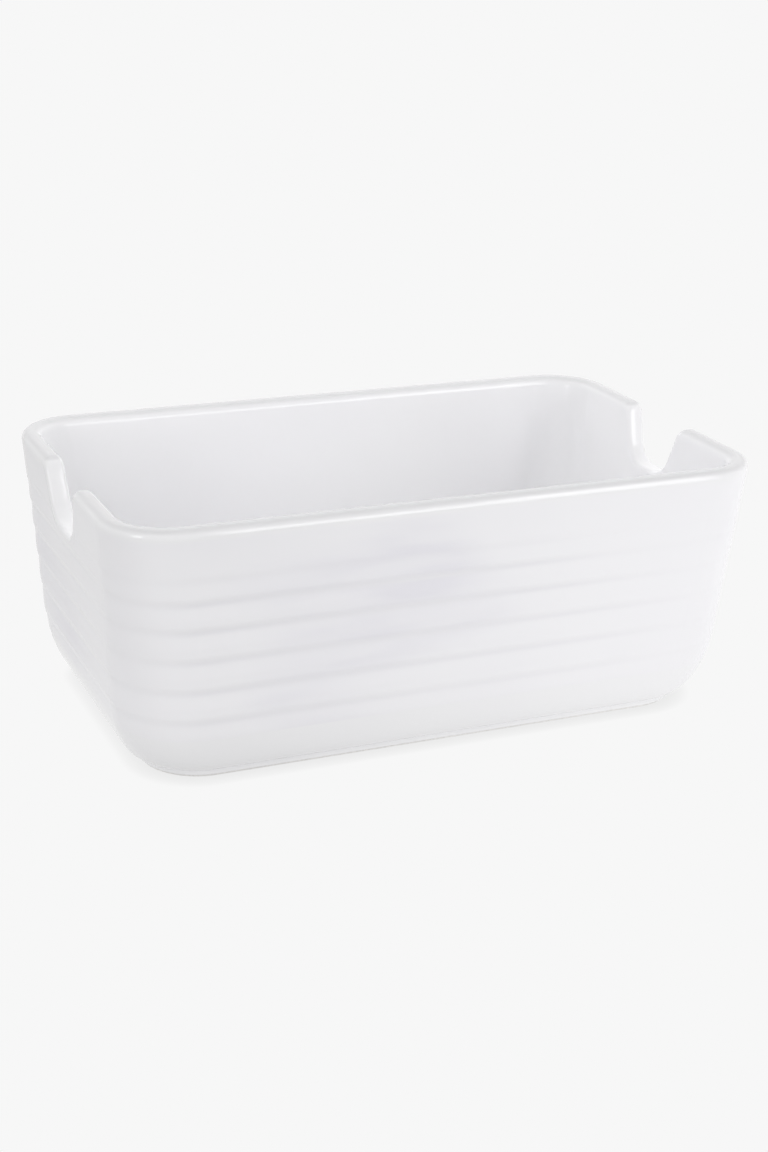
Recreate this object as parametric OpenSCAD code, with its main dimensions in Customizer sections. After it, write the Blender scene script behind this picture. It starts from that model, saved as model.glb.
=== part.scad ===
// Open caddy for sugar packets, cast and fired in one piece, with a white glaze.
// The long sides run along X and a finger notch is in the middle of each short end.
// The origin is on the table, under the middle of the foot ring.

/* [Rim and walls] */
// Length over the rim
rim_l = 121; // [100:0.5:150]
// Width over the rim
rim_w = 72.6; // [62:0.2:90]
// Height from the table to the top of the rim
height = 47.4; // [42:0.1:60]
// Corner radius of the rim, seen from above
rim_r = 11.4; // [8:0.1:16]
// Corner radius of the walls just above the base curve
low_r = 13; // [10:0.1:16]
// How far each short end leans in from the rim to the table
end_draft = 3.5; // [1:0.1:6]
// How far each long side leans in from the rim to the table
side_draft = 2.6; // [1:0.1:6]
// Thickness of the finished wall
wall = 3.6; // [3.4:0.1:4.5]
// Radius on both edges of the rim
rim_edge_r = 1.65; // [1:0.05:1.75]

/* [Base] */
// Height of the curve that turns the walls in to the base
base_curve_h = 13.2; // [8:0.1:15]
// How far that curve turns in
base_curve_in = 5; // [3:0.1:8]
// Thickness of the finished floor
floor_t = 3.8; // [3:0.1:6]
// Height of the curve between the inner walls and the floor
floor_curve_h = 9; // [4:0.1:12]
// How far that inner curve turns in
floor_curve_in = 6; // [3:0.1:8]

/* [Foot ring] */
// Height of the foot ring under the body
foot_h = 1.7; // [1:0.1:3]
// Step in from the body to the foot ring
foot_step = 0.45; // [0.2:0.05:1]
// Width of the foot ring
foot_w = 3.4; // [2.6:0.1:5]
// Radius on both lower edges of the foot ring
foot_edge_r = 0.35; // [0.1:0.05:0.4]
// Height of the bare clay that is wiped clean of glaze
bare_h = 0.5; // [0.45:0.05:0.7]

/* [Grooves] */
// Height of a groove's long slope, below its deepest line
groove_low_h = 2; // [1:0.1:2.4]
// Height of a groove's short slope, above its deepest line
groove_up_h = 1.2; // [0.6:0.1:1.6]
// Depth of each groove
groove_d = 0.35; // [0.1:0.05:0.6]

/* [Finger notches] */
// Width of a notch, where its sides meet the height of the rim
notch_w = 19; // [15:0.5:24]
// Depth of a notch below the rim
notch_d = 10.6; // [7:0.1:14]
// Lean of the notch's sides from upright, in degrees
notch_lean = 20; // [8:1:30]
// Radius of the notch's lower corners
notch_r = 5.4; // [2:0.1:8]
// Radius where the notch's sides meet the rim
shoulder_r = 2.6; // [2:0.1:5]
// Radius on both edges of the notch
notch_edge_r = 0.9; // [0.5:0.05:1.5]

/* [Glaze] */
// Thickness of the glaze
glaze_t = 0.35; // [0.2:0.05:0.4]

/* [Hidden] */

// Heights of the grooves' deepest lines, from the lowest up, as shares of the height
groove_shares = [0.264, 0.382, 0.499, 0.614, 0.719, 0.802];
// How much of an inward curve the corner radius gives up
follow_share = 0.5;
// Most of the room between its neighbours that a notch corner may fill
fill_share = 0.95;
// Where the base curve ends, in degrees of its quarter turn
curve_end = 84;
// Flat steps in each arc
corner_steps = 6;
notch_steps = 4;
shoulder_steps = 2;
curve_steps = 4;
edge_steps = 2;
// Distance from the notch's lower edge down to the last level row of the wall
level_gap = 0.6;
// Distance from the lowest groove down to the last row of the base curve
curve_gap = 0.9;

curve_top = foot_h + base_curve_h;
floor_z = foot_h + floor_t;
notch_z = height - notch_d;
level_z = notch_z - notch_edge_r - level_gap;
rim_start = height - rim_edge_r;

// Sizes of the outer plan at height z, before any inward curve
function lean(z, draft) = draft * (height - z) / height;
function plan_r(z) = rim_r + (low_r - rim_r) * min(1, (height - z) / (height - curve_top));

// A station is one upright column of points in the wall:
// [facing, share of the plan's straight runs, place, top, normal at the top, edge radius, groove]
// The place is measured along the end wall, and the normal lies in the plane of the wall.
function facing(s) = s[0];
function shares(s) = s[1];
function place(s) = s[2];
function top_z(s) = s[3];
function top_normal(s) = s[4];
function edge_r(s) = s[5];
function groove_keep(s) = s[6];
function flip(s, sx, sy) = [
    [facing(s).x * sx, facing(s).y * sy], [shares(s).x * sx, shares(s).y * sy], place(s) * sy, top_z(s),
    [top_normal(s).x * sy, top_normal(s).y], edge_r(s), groove_keep(s)];
function backwards(list) = [for (i = [len(list) - 1 : -1 : 0]) list[i]];
function without_first(list) = [for (i = [1 : len(list) - 1]) list[i]];
function without_ends(list) = [for (i = [1 : len(list) - 2]) list[i]];

// Outline of half a notch: a lower corner arc, a leaning side and a shoulder arc
notch_run = notch_w / 2 - notch_d * tan(notch_lean);
notch_r_room = notch_run / (1 / cos(notch_lean) - tan(notch_lean));
corner_r = min(notch_r, fill_share * notch_r_room, fill_share * notch_d - shoulder_r);
corner_y = notch_w / 2 - (notch_d - corner_r) * tan(notch_lean) - corner_r / cos(notch_lean);
shoulder_y = notch_w / 2 - shoulder_r * tan(notch_lean) + shoulder_r / cos(notch_lean);
side_angle = 90 - notch_lean;
function notch_normal(a) = [-sin(a), cos(a)];
function end_station(y, z, normal, edge, keep) = [[1, 0], [1, 0], y, z, normal, edge, keep];
function corner_station(i) = let (a = side_angle * i / notch_steps, n = notch_normal(a))
    end_station(corner_y - corner_r * n.x, notch_z + corner_r - corner_r * n.y, n, notch_edge_r, 0);
function shoulder_station(i) = let (
        turned = i / shoulder_steps,
        n = notch_normal(side_angle * (1 - turned)),
        edge = notch_edge_r + (rim_edge_r - notch_edge_r) * turned)
    end_station(shoulder_y + shoulder_r * n.x, height - shoulder_r + shoulder_r * n.y, n, edge, turned);
function rim_station(face, share) = [face, share, 0, height, [0, 1], rim_edge_r, 1];
quarter = concat(
    [end_station(0, notch_z, [0, 1], notch_edge_r, 0)],
    [for (i = [0 : notch_steps]) corner_station(i)],
    [for (i = [0 : shoulder_steps]) shoulder_station(i)],
    [for (i = [0 : corner_steps]) let (a = 90 * i / corner_steps) rim_station([cos(a), sin(a)], [1, 1])],
    [rim_station([0, 1], [0, 1])]);
stations = concat(
    quarter,
    without_first(backwards([for (s = quarter) flip(s, -1, 1)])),
    without_first([for (s = quarter) flip(s, -1, -1)]),
    without_ends(backwards([for (s = quarter) flip(s, 1, -1)])));

// Point of a station at height z, set in from the outer plan by a curve and by a parallel inset
function plan_point(s, along, z, curve, inset) = let (
        r = plan_r(z) - follow_share * curve,
        run_x = rim_l / 2 - lean(z, end_draft) - curve - r,
        run_y = rim_w / 2 - lean(z, side_draft) - curve - r)
    [shares(s).x * run_x + facing(s).x * (r - inset),
     shares(s).y * run_y + along + facing(s).y * (r - inset), z];

// A column stands straight under the place where the edge rounding of its top ends
function column_y(s) = place(s) - top_normal(s).x * edge_r(s);
function column_top(s) = top_z(s) - top_normal(s).y * edge_r(s);
function squeeze(s, z) = z <= level_z ? z
    : level_z + (z - level_z) * (column_top(s) - level_z) / (rim_start - level_z);

// Outer rows, from the foot up: [height, curve, groove, outward normal as [level, upright]]
function ellipse_in(z) = base_curve_in * (1 - sqrt(1 - pow(max(0, curve_top - z) / base_curve_h, 2)));
curve_end_in = base_curve_in * (1 - cos(curve_end));
foot_in = curve_end_in + foot_step;
function curve_normal(a) = let (n = [base_curve_h * cos(a), -base_curve_in * sin(a)]) n / norm(n);
function curve_row(a) =
    [curve_top - base_curve_h * sin(a), base_curve_in * (1 - cos(a)), 0, curve_normal(a)];
// The first groove cuts the base curve short, so the curve's own rows stop below it
curve_row_top = groove_shares[0] * height - groove_low_h - curve_gap;
curve_start = asin(max(0, curve_top - curve_row_top) / base_curve_h);
end_normal = curve_normal(curve_end);
crease_z = curve_row(curve_end)[0];
foot_rows = [
    [bare_h, foot_in, 0, [1, 0]],
    [crease_z, foot_in, 0, [1, (1 - end_normal.x) / end_normal.y]]];
curve_rows = [for (i = [0 : curve_steps - 1]) let (t = i / (curve_steps - 1))
    curve_row(curve_end + (curve_start - curve_end) * t)];
function groove_row(z, depth) = [z, ellipse_in(z), depth, [1, 0]];
groove_rows = [for (share = groove_shares, row = [[-groove_low_h, 0], [0, groove_d], [groove_up_h, 0]])
    groove_row(share * height + row[0], row[1])];
outer_rows = concat(foot_rows, curve_rows, groove_rows);

// A groove that would run into a notch fades out before it
function outer_ring(row, depth) = [for (s = stations) let (
        z = row[0],
        keep = z + groove_up_h <= level_z ? 1 : groove_keep(s),
        inset = depth * row[3].x + row[2] * keep)
    plan_point(s, column_y(s), squeeze(s, z) - depth * row[3].y, row[1], inset)];

// Edge rows run over the rim and round the notches, from the outside in: [side, turn in degrees]
edge_rows = concat(
    [for (i = [edge_steps : -1 : 0]) [-1, 90 * i / edge_steps]],
    [for (i = [0 : edge_steps]) [1, 90 * i / edge_steps]]);
function edge_ring(row, depth) = [for (s = stations) let (
        r = edge_r(s) - depth,
        drop = depth + r * (1 - cos(row[1])),
        half = wall / 2 - edge_r(s) + r * sin(row[1]))
    plan_point(s, place(s) - top_normal(s).x * drop, top_z(s) - top_normal(s).y * drop, 0,
        wall / 2 + row[0] * half)];

// Inner rows, from the wall down to the floor
function floor_normal(a) = let (n = [floor_curve_h * cos(a), floor_curve_in * sin(a)]) n / norm(n);
inner_rows = [for (i = [0 : curve_steps]) let (a = 90 * i / curve_steps)
    [floor_z + floor_curve_h * (1 - sin(a)), floor_curve_in * (1 - cos(a)), floor_normal(a)]];
function inner_ring(row, depth) = [for (s = stations)
    plan_point(s, column_y(s), row[0] - depth * row[2].y, row[1], wall - depth * row[2].x)];

// The whole skin at a depth under the finished surface, from the bare foot up and over to the floor
function skin(depth) = concat(
    [for (row = outer_rows) outer_ring(row, depth)],
    [for (row = edge_rows) edge_ring(row, depth)],
    [for (row = inner_rows) inner_ring(row, depth)]);

// Rings under the body, level with the table
function foot_ring(z, inset) = [for (s = stations) plan_point(s, column_y(s), z, foot_in, inset)];

// Middle of a level ring
function middle(ring) = let (count = len(ring))
    [for (axis = [0 : 2]) [for (p = ring) p[axis]] * [for (p = ring) 1] / count];

// A closed solid through rings of equal length, with a flat face on the first and the last
module loft(rings) {
    count = len(rings[0]);
    last = len(rings) - 1;
    first_middle = count * len(rings);
    last_middle = first_middle + 1;
    around = [for (i = [0 : count - 1]) [i, (i + 1) % count]];
    polyhedron(
        points = concat([for (ring = rings) each ring], [middle(rings[0]), middle(rings[last])]),
        faces = concat(
            [for (e = around) [first_middle, e[0], e[1]]],
            [for (j = [0 : last - 1], e = around)
                [j * count + e[0], (j + 1) * count + e[0], j * count + e[1]]],
            [for (j = [0 : last - 1], e = around)
                [j * count + e[1], (j + 1) * count + e[0], (j + 1) * count + e[1]]],
            [for (e = around) [last_middle, last * count + e[1], last * count + e[0]]]),
        convexity = 6);
}

module clay_body() {
    color("linen")
        loft(concat(
            [foot_ring(foot_h + glaze_t, foot_w - glaze_t),
             foot_ring(foot_edge_r, foot_w - glaze_t),
             foot_ring(0, foot_w - glaze_t - foot_edge_r),
             foot_ring(0, glaze_t + foot_edge_r),
             foot_ring(foot_edge_r, glaze_t)],
            skin(glaze_t)));
}

module glaze_coat() {
    color("white")
        loft(concat(backwards(skin(glaze_t)), skin(0)));
}

module base_glaze() {
    color("whitesmoke")
        loft([
            foot_ring(foot_h, foot_w),
            foot_ring(bare_h, foot_w),
            foot_ring(bare_h, foot_w - glaze_t),
            foot_ring(foot_h + glaze_t, foot_w - glaze_t)]);
}

clay_body();
glaze_coat();
base_glaze();
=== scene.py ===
import math
import bpy
from mathutils import Matrix, Vector


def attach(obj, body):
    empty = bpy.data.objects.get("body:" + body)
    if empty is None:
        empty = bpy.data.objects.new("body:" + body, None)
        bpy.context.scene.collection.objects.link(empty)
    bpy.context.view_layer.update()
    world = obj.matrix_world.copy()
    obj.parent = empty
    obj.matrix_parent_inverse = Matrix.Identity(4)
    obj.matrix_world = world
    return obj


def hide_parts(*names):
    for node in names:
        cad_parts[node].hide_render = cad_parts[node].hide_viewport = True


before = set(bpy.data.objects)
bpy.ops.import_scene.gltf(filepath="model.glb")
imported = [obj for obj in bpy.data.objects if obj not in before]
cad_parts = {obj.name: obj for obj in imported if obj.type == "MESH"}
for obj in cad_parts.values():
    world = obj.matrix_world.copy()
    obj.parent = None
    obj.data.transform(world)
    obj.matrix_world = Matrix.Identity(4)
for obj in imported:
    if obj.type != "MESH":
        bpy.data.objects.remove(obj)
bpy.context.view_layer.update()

scene = bpy.context.scene
scene.view_settings.view_transform = "Standard"
print("frame loaded:", ", ".join(sorted(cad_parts)))

# camera
photoView = {
    "azimuth": -23.7,  # degrees, 0 looks along +Y
    "elevation": 19.9,
    "roll": 1.52,
    "distance": 0.3644,  # metres from the aim
    "aimHeight": 0.0237,
    "lens": 61.0,  # mm
    "filmHeight": 36.0,
    "shiftX": 0.0045,
    "shiftY": -0.0110,
    "nearest": 0.01,  # metres, where the view starts
}


def placeCamera(view):
    turn, lift, roll = (math.radians(view[name]) for name in ("azimuth", "elevation", "roll"))
    back = Vector((math.sin(turn) * math.cos(lift), -math.cos(turn) * math.cos(lift), math.sin(lift)))
    right = Vector((0, 0, 1)).cross(back).normalized()
    up = back.cross(right)
    rolledRight = right * math.cos(roll) + up * math.sin(roll)
    rolledUp = up * math.cos(roll) - right * math.sin(roll)
    data = bpy.data.cameras.new("photoCamera")
    data.sensor_fit = "VERTICAL"
    data.sensor_height = view["filmHeight"]
    data.lens = view["lens"]
    data.shift_x = view["shiftX"]
    data.shift_y = view["shiftY"]
    data.clip_start = view["nearest"]
    camera = bpy.data.objects.new("photoCamera", data)
    axes = Matrix((rolledRight, rolledUp, back)).transposed().to_4x4()
    place = Vector((0, 0, view["aimHeight"])) + back * view["distance"]
    camera.matrix_world = Matrix.Translation(place) @ axes
    scene.collection.objects.link(camera)
    scene.camera = camera


placeCamera(photoView)
print("camera placed")

# node helpers


class NodeBench:
    # each call adds one node to a tree and joins what it is given to the node's inputs
    def __init__(self, tree):
        self.tree = tree

    def put(self, kind, *values, **settings):
        node = self.tree.nodes.new(kind)
        line, place = divmod(len(self.tree.nodes), 12)  # lines of twelve nodes in the editor
        node.location = (200 * place, -180 * line)
        for name, value in settings.items():
            setattr(node, name, value)
        for place, value in enumerate(values):
            self.join(value, node.inputs[place])
        return node

    def join(self, value, socket):
        if value is None:
            return
        if isinstance(value, bpy.types.NodeSocket):
            self.tree.links.new(value, socket)
        else:
            socket.default_value = value

    def maths(self, operation, *values, **settings):
        return self.put("ShaderNodeMath", *values, operation=operation, **settings).outputs[0]

    def add(self, a, b):
        return self.maths("ADD", a, b)

    def take(self, a, b):
        return self.maths("SUBTRACT", a, b)

    def times(self, a, b):
        return self.maths("MULTIPLY", a, b)

    def over(self, a, b):
        return self.maths("DIVIDE", a, b)

    def split(self, vector):
        return self.put("ShaderNodeSeparateXYZ", vector).outputs[:3]

    def build(self, x, y, z):
        return self.put("ShaderNodeCombineXYZ", x, y, z).outputs[0]

    def ease(self, value, low, high, lowResult, highResult):
        return self.put("ShaderNodeMapRange", value, low, high, lowResult, highResult,
                        interpolation_type="SMOOTHSTEP").outputs[0]


def newTree(name, kind, inputs, outputs):
    # inputs and outputs: (name, socket type, starting value or None)
    tree = bpy.data.node_groups.new(name, kind)
    for direction, sockets in (("INPUT", inputs), ("OUTPUT", outputs)):
        for socketName, socketType, start in sockets:
            socket = tree.interface.new_socket(socketName, in_out=direction, socket_type=socketType)
            if start is not None:
                socket.default_value = start
    return tree, tree.nodes.new("NodeGroupInput"), tree.nodes.new("NodeGroupOutput")


# sizes of the caddy
# metres, the same sizes and rules as in the part's own source
caddySizes = {
    "rimLength": 0.121,
    "rimWidth": 0.0726,
    "height": 0.0474,
    "rimCorner": 0.0114,
    "lowCorner": 0.013,
    "endDraft": 0.0035,
    "sideDraft": 0.0026,
    "wall": 0.0036,
    "rimEdge": 0.00165,
    "baseCurveHeight": 0.0132,
    "baseCurveIn": 0.005,
    "floorThickness": 0.0038,
    "floorCurveHeight": 0.009,
    "floorCurveIn": 0.006,
    "footHeight": 0.0017,
    "footStep": 0.00045,
    "footWidth": 0.0034,
    "footEdge": 0.00035,
    "bareHeight": 0.0005,
    "notchWidth": 0.019,
    "notchDepth": 0.0106,
    "notchLean": math.radians(20),
    "notchCorner": 0.0054,
    "shoulder": 0.0026,
    "notchEdge": 0.0009,
    "glaze": 0.00035,
    "cornerFollow": 0.5,  # how much of an inward curve the corner radius gives up
    "curveEnd": math.radians(84),
    "levelGap": 0.0006,  # from a notch's lower edge down to the last level row
}
curveTop = caddySizes["footHeight"] + caddySizes["baseCurveHeight"]
floorTop = caddySizes["footHeight"] + caddySizes["floorThickness"]
notchBottom = caddySizes["height"] - caddySizes["notchDepth"]
levelTop = notchBottom - caddySizes["notchEdge"] - caddySizes["levelGap"]
rimStart = caddySizes["height"] - caddySizes["rimEdge"]

# guides
guideSteps = {
    "notchFlat": 2,
    "notchCorner": 14,
    "notchSide": 5,
    "shoulder": 8,
    "endRun": 5,
    "corner": 20,
    "sideRun": 7,
}


def spread(count, first=0, last=1):
    return [first + (last - first) * i / count for i in range(count + 1)]


def planStations(sizes, steps):
    # one station is one upright column of the wall: which way it faces, its share of the straight
    # runs, and where its top is on the end wall: along, height, edge radius and normal
    lean = sizes["notchLean"]
    half = sizes["notchWidth"] / 2
    cornerR, shoulderR = sizes["notchCorner"], sizes["shoulder"]
    height = sizes["height"]
    cornerY = half - (sizes["notchDepth"] - cornerR) * math.tan(lean) - cornerR / math.cos(lean)
    shoulderY = half - shoulderR * math.tan(lean) + shoulderR / math.cos(lean)
    sideTurn = math.pi / 2 - lean

    def onEnd(along, top, normal, edge):
        return {"facing": (1, 0, 0), "runShare": (1, 0, 0), "crest": (along, top, edge),
                "crestNormal": (normal[0], normal[1], 0)}

    def onRim(facing, share, along=0.0):
        return {"facing": (*facing, 0), "runShare": (*share, 0), "crest": (along, height, sizes["rimEdge"]),
                "crestNormal": (0, 1, 0)}

    quarter = [onEnd(cornerY * t, notchBottom, (0, 1), sizes["notchEdge"]) for t in spread(steps["notchFlat"])]
    for t in spread(steps["notchCorner"])[1:]:
        n = (-math.sin(sideTurn * t), math.cos(sideTurn * t))
        quarter.append(onEnd(cornerY - cornerR * n[0], notchBottom + cornerR - cornerR * n[1], n,
                             sizes["notchEdge"]))
    sideFoot = quarter[-1]["crest"]
    sideNormal = (-math.sin(sideTurn), math.cos(sideTurn))
    sideHead = (shoulderY + shoulderR * sideNormal[0], height - shoulderR + shoulderR * sideNormal[1])
    for t in spread(steps["notchSide"])[1:]:
        quarter.append(onEnd(sideFoot[0] + (sideHead[0] - sideFoot[0]) * t,
                             sideFoot[1] + (sideHead[1] - sideFoot[1]) * t, sideNormal, sizes["notchEdge"]))
    for t in spread(steps["shoulder"])[1:]:
        n = (-math.sin(sideTurn * (1 - t)), math.cos(sideTurn * (1 - t)))
        edge = sizes["notchEdge"] + (sizes["rimEdge"] - sizes["notchEdge"]) * t
        quarter.append(onEnd(shoulderY + shoulderR * n[0], height - shoulderR + shoulderR * n[1], n, edge))
    for t in spread(steps["endRun"])[1:-1]:
        quarter.append(onRim((1, 0), (1, t), shoulderY * (1 - t)))
    for t in spread(steps["corner"]):
        quarter.append(onRim((math.cos(t * math.pi / 2), math.sin(t * math.pi / 2)), (1, 1)))
    for t in spread(steps["sideRun"])[1:]:
        quarter.append(onRim((0, 1), (1 - t, 1)))

    def flipped(station, sx, sy):
        facing, share, crest, normal = (station[k] for k in ("facing", "runShare", "crest", "crestNormal"))
        return {"facing": (facing[0] * sx, facing[1] * sy, 0), "runShare": (share[0] * sx, share[1] * sy, 0),
                "crest": (crest[0] * sy, crest[1], crest[2]), "crestNormal": (normal[0] * sy, normal[1], 0)}

    return (quarter
            + [flipped(s, -1, 1) for s in reversed(quarter[:-1])]
            + [flipped(s, -1, -1) for s in quarter[1:]]
            + [flipped(s, 1, -1) for s in reversed(quarter[1:-1])])


def guideMesh(name, points):
    # a guide is a row of points that carry the values which the sweep reads; only their order counts
    mesh = bpy.data.meshes.new(name)
    mesh.from_pydata([(i, 0, 0) for i in range(len(points))], [], [])
    for key in points[0]:
        values = [number for point in points for number in point[key]]
        mesh.attributes.new(key, "FLOAT_VECTOR", "POINT").data.foreach_set("vector", values)
    guide = bpy.data.objects.new(name, mesh)
    scene.collection.objects.link(guide)
    return guide


def sectionRow(level, curve=0.0, side=-1, turn=math.pi / 2, depth=0.0, inset=0.0, normal=(1, 0), gather=0.0,
               grooved=1, waved=1):
    return {"rowPlace": (level, curve, inset), "rowTurn": (side, turn, gather),
            "rowSkin": (depth, normal[0], normal[1]), "rowFinish": (grooved, waved if depth == 0 else 0, 0)}


def ellipseNormal(angle, height, inward, sign):
    out, up = height * math.cos(angle), sign * inward * math.sin(angle)
    return out / math.hypot(out, up), up / math.hypot(out, up)


def curveIn(level, sizes):
    share = max(0.0, curveTop - level) / sizes["baseCurveHeight"]
    return sizes["baseCurveIn"] * (1 - math.sqrt(1 - min(1.0, share) ** 2))


footIn = caddySizes["baseCurveIn"] * (1 - math.cos(caddySizes["curveEnd"])) + caddySizes["footStep"]
creaseLevel = curveTop - caddySizes["baseCurveHeight"] * math.sin(caddySizes["curveEnd"])
lipTop = caddySizes["bareHeight"] + caddySizes["glaze"] / 2


def skinRows(sizes, depth, steps):
    # from the foot up the outside, over the rim and down to the middle of the floor
    rows = []
    fillet = steps["creaseFillet"]
    if depth == 0:
        for level in spread(steps["footSide"], lipTop, creaseLevel - fillet):
            rows.append(sectionRow(level, footIn, grooved=0))
        for a in spread(steps["filletArc"], 0, math.pi / 2)[1:]:
            level = creaseLevel - fillet * (1 - math.sin(a))
            rows.append(sectionRow(level, footIn - fillet * (1 - math.cos(a)), grooved=0))
    else:
        end = ellipseNormal(sizes["curveEnd"], sizes["baseCurveHeight"], sizes["baseCurveIn"], -1)
        rows.append(sectionRow(lipTop, footIn, depth=depth, grooved=0))
        rows.append(sectionRow(creaseLevel, footIn, depth=depth, normal=(1, (1 - end[0]) / end[1]), grooved=0))
    denseStart = steps["denseStart"]
    denseTurn = math.asin((curveTop - denseStart) / sizes["baseCurveHeight"])
    for a in spread(steps["baseCurve"], sizes["curveEnd"], denseTurn):
        n = ellipseNormal(a, sizes["baseCurveHeight"], sizes["baseCurveIn"], -1)
        level = curveTop - sizes["baseCurveHeight"] * math.sin(a)
        curve = sizes["baseCurveIn"] * (1 - math.cos(a))
        rows.append(sectionRow(level, curve, depth=depth, normal=n, grooved=0))
    for level in spread(steps["grooved"], denseStart, steps["denseEnd"])[1:]:
        rows.append(sectionRow(level, curveIn(level, sizes), depth=depth))
    for level in spread(steps["upperWall"], steps["denseEnd"], rimStart)[1:-1]:
        rows.append(sectionRow(level, 0, depth=depth))
    for turn in spread(steps["edge"], math.pi / 2, 0):
        rows.append(sectionRow(rimStart, depth=depth, turn=turn, grooved=0))
    for turn in spread(steps["edge"], 0, math.pi / 2):
        rows.append(sectionRow(rimStart, side=1, depth=depth, turn=turn, grooved=0))
    floorCurveTop = floorTop + sizes["floorCurveHeight"]
    for level in spread(steps["innerWall"], rimStart, floorCurveTop)[1:-1]:
        rows.append(sectionRow(level, side=1, depth=depth, grooved=0))
    for a in spread(steps["floorCurve"], 0, math.pi / 2):
        n = ellipseNormal(a, sizes["floorCurveHeight"], sizes["floorCurveIn"], 1)
        level = floorTop + sizes["floorCurveHeight"] * (1 - math.sin(a))
        curve = sizes["floorCurveIn"] * (1 - math.cos(a))
        rows.append(sectionRow(level, curve, side=1, depth=depth, normal=n, grooved=0))
    for gather in steps["gather"]:
        rows.append(sectionRow(floorTop, sizes["floorCurveIn"], side=1, depth=depth, normal=(0, 1),
                               gather=gather, grooved=0))
    return rows


fineSteps = {
    "creaseFillet": 0.0003,  # metres, as the dense band's two levels are
    "footSide": 3,
    "filletArc": 5,
    "baseCurve": 16,
    "denseStart": 0.0092,
    "denseEnd": 0.0406,
    "grooved": 124,
    "upperWall": 7,
    "edge": 9,
    "innerWall": 12,
    "floorCurve": 14,
    "gather": (0.12, 0.3, 0.5, 0.75, 1.0),
}
hiddenSteps = dict(fineSteps, baseCurve=7, grooved=64, upperWall=2, edge=4, innerWall=3, floorCurve=6,
                   gather=(0.3, 1.0))
footSteps = {
    "lip": 6,  # round the lower edge of a glaze layer
    "edge": 5,  # round each edge of the foot ring, and round the base glaze's fillet
    "gather": (0.4, 1.0),
}


def footRow(level, inset, gather=0.0):
    return sectionRow(level, footIn, inset=inset, gather=gather, grooved=0, waved=0)


def lipRows(sizes, inner, outer):
    # the rounded lower edge of a glaze layer, from its inner face round to its outer face
    middle, radius = (inner + outer) / 2, (inner - outer) / 2
    level = sizes["bareHeight"] + abs(radius)
    return [footRow(level - abs(radius) * math.sin(a), middle + radius * math.cos(a))
            for a in spread(footSteps["lip"], 0, math.pi)[1:-1]]


def coatSection(sizes):
    hidden = skinRows(sizes, sizes["glaze"], hiddenSteps)
    seen = skinRows(sizes, 0, fineSteps)
    return hidden[::-1] + lipRows(sizes, sizes["glaze"], 0) + seen


def claySection(sizes):
    glaze, edge, width = sizes["glaze"], sizes["footEdge"], sizes["footWidth"]
    recess = sizes["footHeight"] + glaze
    rows = skinRows(sizes, glaze, hiddenSteps)[::-1]
    for a in spread(footSteps["edge"], 0, math.pi / 2):
        rows.append(footRow(edge * (1 - math.sin(a)), glaze + edge * (1 - math.cos(a))))
    for a in spread(footSteps["edge"], math.pi / 2, 0):
        rows.append(footRow(edge * (1 - math.sin(a)), width - glaze - edge * (1 - math.cos(a))))
    return rows + [footRow(recess, width - glaze, gather) for gather in (0.0, *footSteps["gather"])]


baseFinish = {
    "fillet": 0.0006,  # where the glaze pools round the recess
}


def baseSection(sizes, finish):
    glaze, width, top = sizes["glaze"], sizes["footWidth"], sizes["footHeight"]
    fillet = finish["fillet"]
    rows = [footRow(top + glaze, width - glaze, gather) for gather in (*reversed(footSteps["gather"]), 0.0)]
    rows.append(footRow(lipTop, width - glaze))
    rows += lipRows(sizes, width - glaze, width)
    rows.append(footRow(lipTop, width))
    for a in spread(footSteps["edge"], 0, math.pi / 2):
        rows.append(footRow(top - fillet * (1 - math.sin(a)), width + fillet * (1 - math.cos(a))))
    return rows + [footRow(top, width + fillet, gather) for gather in fineSteps["gather"]]


# the sweep
mergeReach = 0.000002  # points nearer than this are joined
leastEdge = 0.00001
grooveFinish = {
    # the deepest line of each groove as a share of the caddy's height, and its depth against the others
    "marks": ((0.264, 0.8), (0.382, 0.9), (0.499, 0.9), (0.614, 1.0), (0.719, 1.0), (0.802, 0.5)),
    "depth": 0.00028,
    "lowerFlank": 0.003,  # the long slope under the deepest line
    "upperFlank": 0.0014,  # the short one above it, which faces down
    "lineShare": 3.0,  # how much narrower the painted dark line (painted shade and pooled glaze) is than the lower flank
    "fade": 0.0012,  # how far from a notch's edge a groove ends
    "cornerKeep": 0.55,  # how much of its depth a groove keeps round a corner
    "softKeep": 0.25,  # and where the glaze has filled it most
    "softLow": 0.45,  # the noise at which it is filled most
    "softHigh": 0.60,  # and not at all
    "softSize": 0.06,
    "softSeed": 118.37,
    "waviness": 0.00006,
    "waveSize": 0.028,
    "seed": 4.0,
    "detail": 1.0,  # of the noise that fills and waves
}


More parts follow.
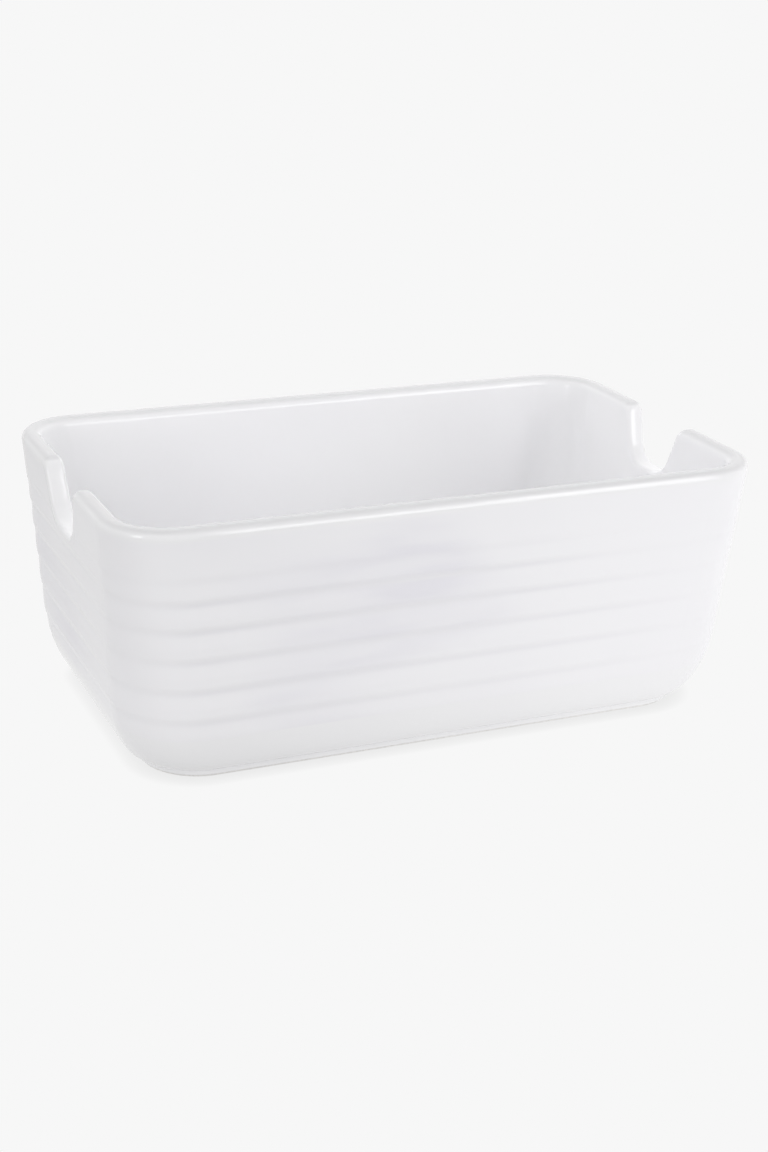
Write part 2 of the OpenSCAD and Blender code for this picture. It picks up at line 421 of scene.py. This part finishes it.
def sweepTree():
    # sweeps a section round the plan: column and row of each grid point pick a station and a section row
    sizes = [(name, "NodeSocketFloat", 0.0) for name in (
        "Length", "Width", "Height", "Rim Corner", "Low Corner", "Curve Top", "End Draft", "Side Draft", "Wall",
        "Level Top", "Rim Start", "Corner Follow", "Groove Depth", "Lower Flank", "Upper Flank", "Line Share",
        "Groove Fade", "Corner Keep", "Soft Keep", "Soft Low", "Soft High", "Soft Size", "Soft Seed",
        "Waviness", "Wave Size", "Seed", "Detail")]
    guides = [(name, "NodeSocketObject", None) for name in ("Stations", "Section")]
    tree, given, result = newTree("sweepCaddy", "GeometryNodeTree",
                                  guides + sizes + [("Material", "NodeSocketMaterial", None)],
                                  [("Geometry", "NodeSocketGeometry", None)])
    bench = NodeBench(tree)
    size = given.outputs

    def guideOf(name):
        info = bench.put("GeometryNodeObjectInfo", size[name])
        return info.outputs["Geometry"]

    stations, section = (guideOf(name) for name in ("Stations", "Section"))
    stationCount = bench.put("GeometryNodeAttributeDomainSize", stations).outputs["Point Count"]
    rowCount = bench.put("GeometryNodeAttributeDomainSize", section).outputs["Point Count"]
    grid = bench.put("GeometryNodeMeshGrid", 1.0, 1.0, bench.add(stationCount, 1), rowCount).outputs["Mesh"]
    index = bench.put("GeometryNodeInputIndex").outputs[0]
    column = bench.maths("FLOOR", bench.over(bench.add(index, 0.5), rowCount))
    row = bench.take(index, bench.times(column, rowCount))
    station = bench.maths("MODULO", column, stationCount)

    def pick(guide, name, place):
        value = bench.put("GeometryNodeInputNamedAttribute", name, data_type="FLOAT_VECTOR").outputs[0]
        found = bench.put("GeometryNodeSampleIndex", guide, value, place, data_type="FLOAT_VECTOR")
        return bench.split(found.outputs[0])

    faceX, faceY, _ = pick(stations, "facing", station)
    shareX, shareY, _ = pick(stations, "runShare", station)
    along, top, edge = pick(stations, "crest", station)
    normalY, normalZ, _ = pick(stations, "crestNormal", station)
    level, curve, inset = pick(section, "rowPlace", row)
    side, turn, gather = pick(section, "rowTurn", row)
    depth, rowOut, rowUp = pick(section, "rowSkin", row)
    grooved, waved, _ = pick(section, "rowFinish", row)

    # over the rim and the notches the section turns about the edge radius
    bend = bench.take(edge, depth)
    drop = bench.add(depth, bench.times(bend, bench.take(1.0, bench.maths("COSINE", turn))))
    halfWall = bench.times(size["Wall"], 0.5)
    half = bench.add(bench.take(halfWall, edge), bench.times(bend, bench.maths("SINE", turn)))
    columnTop = bench.take(top, bench.times(normalZ, edge))
    squeeze = bench.over(bench.take(columnTop, size["Level Top"]),
                         bench.take(size["Rim Start"], size["Level Top"]))
    above = bench.maths("MAXIMUM", bench.take(level, size["Level Top"]), 0.0)
    squeezed = bench.add(bench.maths("MINIMUM", level, size["Level Top"]), bench.times(above, squeeze))
    z = bench.take(bench.add(squeezed, bench.times(normalZ, bench.take(edge, drop))), bench.times(depth, rowUp))
    place = bench.take(along, bench.times(normalY, drop))
    slant = bench.times(bench.times(side, depth), bench.take(1.0, rowOut))
    skinInset = bench.add(bench.add(halfWall, bench.times(side, half)), slant)

    # each groove is a soft dip about its mark with a painted dark line along it, painted shade and pooled glaze
    # in one, and all end at a notch's edge
    dips = lines = 0.0
    for share, cut in grooveFinish["marks"]:
        mark = bench.times(size["Height"], share)
        below = bench.over(bench.take(mark, z), size["Lower Flank"])
        above = bench.over(bench.take(z, mark), size["Upper Flank"])
        dips = bench.add(dips, bench.ease(bench.maths("MAXIMUM", below, above), 0.0, 1.0, cut, 0.0))
        below = bench.times(below, size["Line Share"])
        lines = bench.add(lines, bench.ease(bench.maths("MAXIMUM", below, above), 0.0, 1.0, cut, 0.0))
    ends = bench.ease(bench.take(columnTop, z), 0.0, size["Groove Fade"], 0.0, 1.0)
    diagonal = bench.maths("ABSOLUTE", bench.times(bench.times(faceX, faceY), 2.0))
    cornerShare = bench.take(1.0, bench.times(diagonal, bench.take(1.0, size["Corner Keep"])))
    keep = bench.times(bench.times(ends, grooved), cornerShare)

    def planPoint(extra):
        leaning = bench.over(bench.take(size["Height"], z), size["Height"])
        low = bench.over(bench.take(size["Height"], z), bench.take(size["Height"], size["Curve Top"]))
        gain = bench.times(bench.take(size["Low Corner"], size["Rim Corner"]), bench.maths("MINIMUM", low, 1.0))
        radius = bench.take(bench.add(size["Rim Corner"], gain), bench.times(curve, size["Corner Follow"]))
        shrink = bench.add(curve, radius)
        halfRuns = (bench.take(bench.times(size[whole], 0.5), bench.times(size[draft], leaning))
                    for whole, draft in (("Length", "End Draft"), ("Width", "Side Draft")))
        runX, runY = (bench.take(halfRun, shrink) for halfRun in halfRuns)
        reach = bench.take(radius, extra)
        open_ = bench.take(1.0, gather)
        x = bench.add(bench.times(shareX, runX), bench.times(faceX, reach))
        y = bench.add(bench.add(bench.times(shareY, runY), place), bench.times(faceY, reach))
        return bench.build(bench.times(x, open_), bench.times(y, open_), z)

    smoothInset = bench.add(skinInset, inset)
    plain = planPoint(smoothInset)

    def slowNoise(seed, reach):
        return bench.put("ShaderNodeTexNoise", plain, seed, bench.over(1.0, reach), size["Detail"],
                         noise_dimensions="4D").outputs[0]

    # the glaze fills the grooves more in some places than in others, and it isn't quite even
    keep = bench.times(keep, bench.ease(slowNoise(size["Soft Seed"], size["Soft Size"]),
                                        size["Soft Low"], size["Soft High"], size["Soft Keep"], 1.0))
    wave = bench.times(bench.take(slowNoise(size["Seed"], size["Wave Size"]), 0.5), size["Waviness"])
    carved = bench.add(smoothInset, bench.times(bench.times(dips, keep), size["Groove Depth"]))
    wavy = planPoint(bench.add(carved, bench.times(wave, waved)))

    crestShare = bench.take(1.0, bench.over(drop, bench.maths("MAXIMUM", edge, leastEdge)))
    # the rim's crest, where the glaze colour is painted darker as painted shade
    rimShadeShare = bench.times(bench.times(crestShare, waved), bench.ease(top, rimStart, size["Height"], 0.0, 1.0))
    geometry = grid
    # the groove lines that the glaze colour darkens: painted shade, together with pooled glaze
    groovePoolAndShade = bench.times(lines, keep)
    for name, value in (("groovePoolAndShade", groovePoolAndShade), ("rimCrestShade", rimShadeShare), ("outerWall", grooved)):
        geometry = bench.put("GeometryNodeStoreNamedAttribute", geometry, None, name, value,
                             data_type="FLOAT", domain="POINT").outputs[0]
    geometry = bench.put("GeometryNodeSetPosition", geometry, None, wavy).outputs[0]
    geometry = bench.put("GeometryNodeMergeByDistance", geometry, None, mergeReach).outputs[0]
    geometry = bench.put("GeometryNodeSetShadeSmooth", geometry).outputs[0]
    geometry = bench.put("GeometryNodeRealizeInstances", geometry).outputs[0]
    geometry = bench.put("GeometryNodeSetMaterial", geometry, None, size["Material"]).outputs[0]
    bench.join(geometry, result.inputs[0])
    return tree


def sweepPiece(name, section, material, tree, stations):
    sizes, finish = caddySizes, grooveFinish
    holder = bpy.data.objects.new(name + "Sweep", bpy.data.meshes.new(name + "Sweep"))
    scene.collection.objects.link(holder)
    modifier = holder.modifiers.new("sweep", "NODES")
    modifier.node_group = tree
    values = {
        "Stations": stations, "Section": guideMesh(name + "Section", section),
        "Length": sizes["rimLength"], "Width": sizes["rimWidth"], "Height": sizes["height"],
        "Rim Corner": sizes["rimCorner"], "Low Corner": sizes["lowCorner"], "Curve Top": curveTop,
        "End Draft": sizes["endDraft"], "Side Draft": sizes["sideDraft"], "Wall": sizes["wall"],
        "Level Top": levelTop, "Rim Start": rimStart, "Corner Follow": sizes["cornerFollow"],
        "Groove Depth": finish["depth"], "Lower Flank": finish["lowerFlank"],
        "Upper Flank": finish["upperFlank"], "Line Share": finish["lineShare"], "Groove Fade": finish["fade"],
        "Corner Keep": finish["cornerKeep"], "Soft Keep": finish["softKeep"], "Soft Low": finish["softLow"],
        "Soft High": finish["softHigh"], "Soft Size": finish["softSize"], "Soft Seed": finish["softSeed"],
        "Waviness": finish["waviness"], "Wave Size": finish["waveSize"], "Seed": finish["seed"],
        "Detail": finish["detail"], "Material": material,
    }
    for socket in tree.interface.items_tree:
        if socket.item_type == "SOCKET" and socket.in_out == "INPUT":
            modifier[socket.identifier] = values[socket.name]
    bpy.context.view_layer.update()
    depsgraph = bpy.context.evaluated_depsgraph_get()
    mesh = bpy.data.meshes.new_from_object(holder.evaluated_get(depsgraph), depsgraph=depsgraph)
    mesh.name = name
    piece = bpy.data.objects.new(name, mesh)
    scene.collection.objects.link(piece)
    for used in (holder, values["Section"]):
        bpy.data.objects.remove(used)
    if signedVolume(mesh) < 0:
        mesh.flip_normals()
    print(name, "swept:", len(mesh.vertices), "points", len(mesh.polygons), "faces",
          "volume", round(signedVolume(mesh) * 1e9, 1), "mm3")
    return piece


def signedVolume(mesh):
    total = 0.0
    mesh.calc_loop_triangles()
    points = [v.co for v in mesh.vertices]
    for triangle in mesh.loop_triangles:
        a, b, c = (points[i] for i in triangle.vertices)
        total += a.dot(b.cross(c))
    return total / 6


# materials
glazeLook = {
    "color": (0.907, 0.901, 0.921),
    "poolColor": (0.872, 0.866, 0.895),
    # painted shade: the rim's crest is painted darker, standing for less light from above and a dark reflection
    # there
    "rimShadeColor": (0.715, 0.712, 0.723),
    # painted shade along each groove's line, which also stands for pooled glaze
    "groovePoolShadeColor": (0.85, 0.844, 0.872),
    "innerColor": (0.906, 0.904, 0.914),
    # painted reflection: darker, bluer patches on the outer wall where a dark surrounding reflects
    "darkReflectionColor": (0.822, 0.812, 0.858),
    "slowSize": 0.035,  # metres, of the unevenness in tone, gloss and bump
    "fineSize": 0.0016,
    "toneBand": (0.35, 0.65),
    "toneShare": 0.25,  # how far the tone goes from the colour to the pool colour
    "rimShadeBand": (0.45, 0.95),  # where over the rim's crest the colour is painted darker, a painted shade
    "cloudSize": 0.05,  # of the few darker cloud patches on the outer wall, a painted dark reflection
    "cloudBand": (0.53, 0.72),
    "cloudStretch": (1.0, 1.0, 1.5),
    "cloudPlace": (0.014, 0.0, -0.003),
    "cloudSeed": 129.37,
    "cloudDetail": 1.0,
    "streakSize": 0.0032,  # of the level streaks that the clouds break into
    "streakBand": (0.35, 0.62),
    "streakStretch": (0.16, 0.16, 1.0),
    "streakLeast": 0.45,
    "roughness": 0.07,
    "roughBand": (0.2, 0.8),  # the noise from which the gloss varies, and to which
    "roughLess": 0.02,
    "roughMore": 0.03,
    "ior": 1.5,
    "bump": 0.25,
    "bumpHeight": 0.0002,
    "fineBump": 0.02,  # the fine unevenness in the bump, as a share of the slow
    "coatSeed": 2.0,
    "baseSeed": 9.0,
}
clayLook = {
    "color": (0.87, 0.857, 0.838),
    "darkShare": 0.82,  # how dark its darkest grains are
    "darkBand": (0.3, 0.75),
    "slowSize": 0.006,
    "fineSize": 0.0003,
    "seed": 7.0,
    "roughness": 0.85,
    "roughBand": (0.2, 0.8),
    "roughLess": 0.08,
    "roughMore": 0.06,
    "bump": 0.5,
    "bumpHeight": 0.00008,
}


def mixColor(bench, factor, first, second):
    # first and second: a colour socket, or red, green and blue
    node = bench.put("ShaderNodeMix", data_type="RGBA")
    bench.join(factor, node.inputs["Factor"])
    for color, place in ((first, 6), (second, 7)):
        bench.join((*color, 1) if isinstance(color, tuple) else color, node.inputs[place])
    return node.outputs[2]


def placeGroup(bench, group, values):
    node = bench.put("ShaderNodeGroup", node_tree=group)
    for socket, value in values.items():
        node.inputs[socket].default_value = value
    return node.outputs


def startMaterial(name):
    material = bpy.data.materials.new(name)
    material.use_nodes = True
    return material, NodeBench(material.node_tree), material.node_tree.nodes["Principled BSDF"]


def addRoughness(bench, shader, noise, look):
    least, most = look["roughness"] - look["roughLess"], look["roughness"] + look["roughMore"]
    bench.join(bench.ease(noise, *look["roughBand"], least, most), shader.inputs["Roughness"])


def addBump(bench, shader, height, look):
    bump = bench.put("ShaderNodeBump")
    bump.inputs["Strength"].default_value = look["bump"]
    bump.inputs["Distance"].default_value = look["bumpHeight"]
    bench.join(height, bump.inputs["Height"])
    bench.join(bump.outputs[0], shader.inputs["Normal"])


unevenDetail = {"Slow Size": 2.0, "Fine Size": 3.0}  # of the noise at each size


def unevennessGroup():
    # slow and fine unevenness of a fired surface, for its tone, gloss and bump
    kind = "NodeSocketFloat"
    tree, given, result = newTree("firedUnevenness", "ShaderNodeTree",
                                  [("Slow Size", kind, 0.03), ("Fine Size", kind, 0.002), ("Seed", kind, 1.0)],
                                  [("Slow", kind, None), ("Fine", kind, None)])
    bench = NodeBench(tree)
    place = bench.put("ShaderNodeTexCoord").outputs["Object"]
    for output, (name, detail) in enumerate(unevenDetail.items()):
        scale = bench.over(1.0, given.outputs[name])
        noise = bench.put("ShaderNodeTexNoise", place, given.outputs["Seed"], scale, detail,
                          noise_dimensions="4D")
        bench.join(noise.outputs[0], result.inputs[output])
    return tree


def cloudGroup(look):
    # a mask of soft clouds, flattened in height and broken into level streaks, where a dark reflection is
    # painted
    kind = "NodeSocketFloat"
    tree, given, result = newTree("paintedReflectionClouds", "ShaderNodeTree",
                                  [("Cloud Size", kind, 0.05), ("Streak Size", kind, 0.003),
                                   ("Seed", kind, 1.0)],
                                  [("Clouds", kind, None)])
    bench = NodeBench(tree)
    place = bench.put("ShaderNodeTexCoord").outputs["Object"]
    masks = []
    for name, stretch, band, least in (
            ("Cloud Size", look["cloudStretch"], look["cloudBand"], 0.0),
            ("Streak Size", look["streakStretch"], look["streakBand"], look["streakLeast"])):
        flat = bench.put("ShaderNodeVectorMath", place, stretch, look["cloudPlace"],
                         operation="MULTIPLY_ADD").outputs[0]
        scale = bench.over(1.0, given.outputs[name])
        noise = bench.put("ShaderNodeTexNoise", flat, given.outputs["Seed"], scale, look["cloudDetail"],
                          noise_dimensions="4D").outputs[0]
        masks.append(bench.ease(noise, *band, least, 1.0))
    bench.join(bench.times(*masks), result.inputs[0])
    return tree


def glazeMaterial(name, look, seed):
    material, bench, shader = startMaterial(name)
    uneven = placeGroup(bench, unevenness, {"Slow Size": look["slowSize"], "Fine Size": look["fineSize"],
                                            "Seed": seed})
    slow, fine = uneven["Slow"], uneven["Fine"]
    poolAndShade, rimShade, outer = (bench.put("ShaderNodeAttribute", attribute_name=mark).outputs["Fac"]
                         for mark in ("groovePoolAndShade", "rimCrestShade", "outerWall"))
    tone = bench.ease(slow, *look["toneBand"], 0.0, look["toneShare"])
    darkReflection = placeGroup(bench, clouds, {"Cloud Size": look["cloudSize"], "Streak Size": look["streakSize"],
                                        "Seed": look["cloudSeed"]})["Clouds"]
    color = mixColor(bench, outer, look["innerColor"], look["color"])
    color = mixColor(bench, tone, color, look["poolColor"])
    # painted dark reflection on the outer wall
    color = mixColor(bench, bench.times(darkReflection, outer), color, look["darkReflectionColor"])
    # painted shade along the groove lines, together with pooled glaze
    color = mixColor(bench, bench.times(poolAndShade, poolAndShade), color, look["groovePoolShadeColor"])
    # painted shade on the rim's crest
    color = mixColor(bench, bench.ease(rimShade, *look["rimShadeBand"], 0.0, 1.0), color, look["rimShadeColor"])
    bench.join(color, shader.inputs["Base Color"])
    addRoughness(bench, shader, fine, look)
    addBump(bench, shader, bench.add(slow, bench.times(fine, look["fineBump"])), look)
    shader.inputs["IOR"].default_value = look["ior"]
    return material


def clayMaterial(name, look):
    material, bench, shader = startMaterial(name)
    uneven = placeGroup(bench, unevenness, {"Slow Size": look["slowSize"], "Fine Size": look["fineSize"],
                                            "Seed": look["seed"]})
    dark = tuple(c * look["darkShare"] for c in look["color"])
    color = mixColor(bench, bench.ease(uneven["Fine"], *look["darkBand"], 0.0, 1.0), look["color"], dark)
    bench.join(color, shader.inputs["Base Color"])
    addRoughness(bench, shader, uneven["Slow"], look)
    addBump(bench, shader, uneven["Fine"], look)
    return material


unevenness = unevennessGroup()
clouds = cloudGroup(glazeLook)
coatGlaze = glazeMaterial("whiteGlaze", glazeLook, glazeLook["coatSeed"])
baseGlaze = glazeMaterial("whiteGlazeBase", glazeLook, glazeLook["baseSeed"])
bareClay = clayMaterial("bareClay", clayLook)
print("materials made")

# the three pieces
sweep = sweepTree()
stations = guideMesh("planStations", planStations(caddySizes, guideSteps))
glazedCoat = sweepPiece("glazedCoat", coatSection(caddySizes), coatGlaze, sweep, stations)
firedBody = sweepPiece("firedBody", claySection(caddySizes), bareClay, sweep, stations)
glazedBase = sweepPiece("glazedBase", baseSection(caddySizes, baseFinish), baseGlaze, sweep, stations)
bpy.data.objects.remove(stations)

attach(glazedCoat, "root")
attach(firedBody, "root")
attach(glazedBase, "root")
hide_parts("glaze_coat")
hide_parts("clay_body")
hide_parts("base_glaze")
print("pieces joined to the frame")

# floor and light
stageLook = {
    "background": 0.930,
    "floorHalf": 6.0,
    "shadowReach": 0.003,  # how far the soft shadow spreads on the floor
    "shadowShare": 0.14,
    "shadowSamples": 16,
    "tableGlow": 1.44,  # light that the table gives back at its brightest place
    "tableFall": 2.85,  # how much less of it there is a metre away
    "tableDim": 0.05,  # and the least of it
    "glowPlace": (0.22, -0.12, 0.0),
    "sky": 0.30,  # light from all round
}


def mixShader(bench, factor, first, second):
    return bench.put("ShaderNodeMixShader", factor, first, second).outputs[0]


def directlySeen(bench):
    # the pale background shows to the camera and in gloss, metal and glass
    path = bench.put("ShaderNodeLightPath").outputs
    return bench.maths("MAXIMUM", bench.maths("MAXIMUM", path["Is Camera Ray"], path["Is Glossy Ray"]),
                       path["Is Transmission Ray"])


def makeFloor(look):
    half = look["floorHalf"]
    mesh = bpy.data.meshes.new("studioFloor")
    corners = [(-half, -half, 0), (half, -half, 0), (half, half, 0), (-half, half, 0)]
    mesh.from_pydata(corners, [], [(0, 1, 2, 3)])
    floor = bpy.data.objects.new("studioFloor", mesh)
    scene.collection.objects.link(floor)
    material = bpy.data.materials.new("paleFloor")
    material.use_nodes = True
    tree = material.node_tree
    tree.nodes.clear()
    bench = NodeBench(tree)
    grey = look["background"]
    place = bench.put("ShaderNodeTexCoord").outputs["Object"]
    away = bench.put("ShaderNodeVectorMath", place, look["glowPlace"], operation="DISTANCE").outputs["Value"]
    strength = bench.maths("MAXIMUM", bench.take(look["tableGlow"], bench.times(away, look["tableFall"])),
                           look["tableDim"])
    glow = bench.put("ShaderNodeEmission", (1, 1, 1, 1), strength).outputs[0]
    open_ = bench.put("ShaderNodeAmbientOcclusion", None, look["shadowReach"],
                      samples=look["shadowSamples"]).outputs["AO"]
    shade = bench.take(1.0, bench.times(bench.take(1.0, open_), look["shadowShare"]))
    seen = bench.put("ShaderNodeEmission", (grey, grey, grey, 1), shade).outputs[0]
    output = bench.put("ShaderNodeOutputMaterial")
    bench.join(mixShader(bench, directlySeen(bench), glow, seen), output.inputs["Surface"])
    mesh.materials.append(material)


def makeWorld(look):
    world = bpy.data.worlds.new("paleStudio")
    scene.world = world
    world.use_nodes = True
    tree = world.node_tree
    tree.nodes.clear()
    bench = NodeBench(tree)
    grey = look["background"]
    light = bench.put("ShaderNodeBackground", (1, 1, 1, 1), look["sky"]).outputs[0]
    seen = bench.put("ShaderNodeBackground", (grey, grey, grey, 1), 1.0).outputs[0]
    output = bench.put("ShaderNodeOutputWorld")
    bench.join(mixShader(bench, directlySeen(bench), light, seen), output.inputs["Surface"])


boxShapes = {
    # softboxes: distance, width, height, and whether they show in the gloss
    "key": (0.42, 0.20, 0.20, True),
    "keyTop": (0.43, 0.10, 0.09, True),
    "spark": (0.44, 0.11, 0.12, True),
    "low": (0.5, 0.24, 0.20, False),
    "high": (0.5, 0.22, 0.18, False),
    "top": (0.5, 0.30, 0.24, False),
}
lamps = {
    # azimuth and height in degrees as seen from the caddy, shape and brightness
    "keyBox": (24, 14, "key", 3.05),
    "keyTopBox": (36, 31, "keyTop", 3.20),
    "sparkBox": (-62, 12, "spark", 5.00),
    "frontBox": (-15, 36, "high", 0.40),
    "leftFrontBox": (-45, 36, "high", 1.35),
    "leftFrontLowBox": (-45, 13, "low", 0.35),
    "leftBox": (-75, 36, "high", 2.80),
    "leftLowBox": (-75, 13, "low", 1.10),
    "leftBackLowBox": (-105, 13, "low", 0.30),
    "leftBackTopBox": (-150, 60, "top", 0.75),
    "backLeftBox": (-165, 36, "high", 2.60),
    "backRightBox": (165, 36, "high", 2.60),
    "backTopBox": (150, 60, "top", 2.00),
    "rightBackBox": (135, 36, "high", 2.60),
    "rightBox": (105, 36, "high", 2.60),
    "rightFrontBox": (75, 36, "high", 1.30),
    "rightLowBox": (75, 13, "low", 0.90),
}


def makeLamp(name, azimuth, elevation, shape, brightness):
    distance, width, height, inGloss = boxShapes[shape]
    turn, lift = math.radians(azimuth), math.radians(elevation)
    back = Vector((math.sin(turn) * math.cos(lift), -math.cos(turn) * math.cos(lift), math.sin(lift)))
    data = bpy.data.lights.new(name, "AREA")
    data.shape = "RECTANGLE"
    data.size = width
    data.size_y = height
    data.energy = brightness * math.pi * width * height
    lamp = bpy.data.objects.new(name, data)
    place = Vector((0, 0, photoView["aimHeight"])) + back * distance
    lamp.matrix_world = Matrix.Translation(place) @ back.to_track_quat("Z", "Y").to_matrix().to_4x4()
    lamp.visible_camera = False
    lamp.visible_glossy = inGloss
    scene.collection.objects.link(lamp)


makeFloor(stageLook)
makeWorld(stageLook)
for lampName, setting in lamps.items():
    makeLamp(lampName, *setting)
print("floor, world and lamps made")
